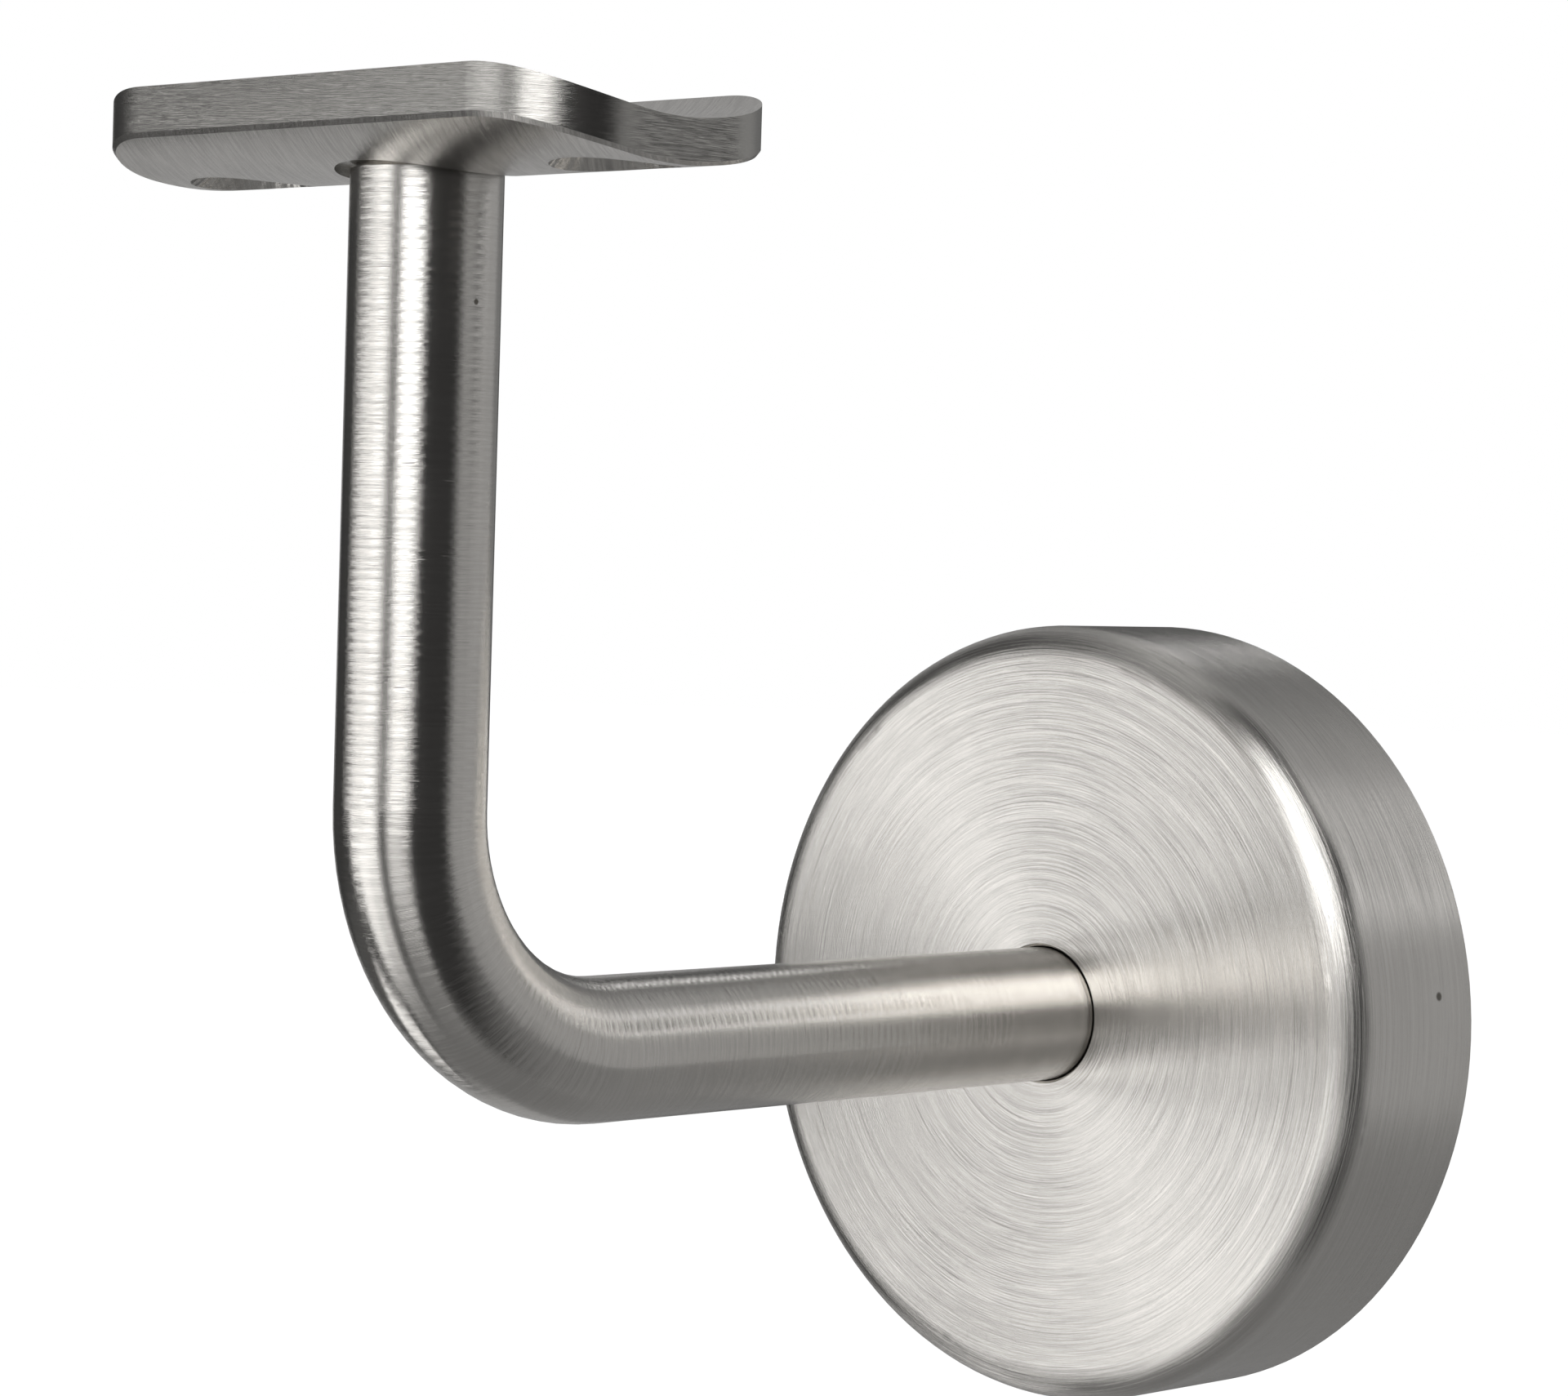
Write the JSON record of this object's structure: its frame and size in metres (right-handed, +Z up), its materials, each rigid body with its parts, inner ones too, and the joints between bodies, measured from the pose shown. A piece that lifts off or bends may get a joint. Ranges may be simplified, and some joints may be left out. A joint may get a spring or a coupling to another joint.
{
  "type": "handrail bracket",
  "caption": "Wall bracket for a round handrail: a bent round rod from a round cover rosette on the wall up to a curved saddle plate with countersunk holes, in satin stainless steel.",
  "frame": {"origin": "centre of the wall plate on the face of the wall", "axes": "+Y into the wall, along the arm; +X along the wall and along the handrail; +Z up, along the upright leg"},
  "size_m": [0.07, 0.107, 0.1107],
  "materials": {
    "wall_plate": "mill finish, turned rim",
    "plate_weld": "as welded",
    "arm_rod": "satin, ground round the bar",
    "cover_rosette": "satin, turned rings on the face, ground round the side",
    "saddle": "satin, ground edges, diagonal grain underneath",
    "saddle_screw": "bright"
  },
  "bodies": {
    "root": {"wall_plate": "wall_plate", "plate_weld": "plate_weld", "arm_rod": "arm_rod", "cover_rosette": "cover_rosette", "saddle": "saddle", "saddle_screw": "saddle_screw"}
  },
  "joints": []
}
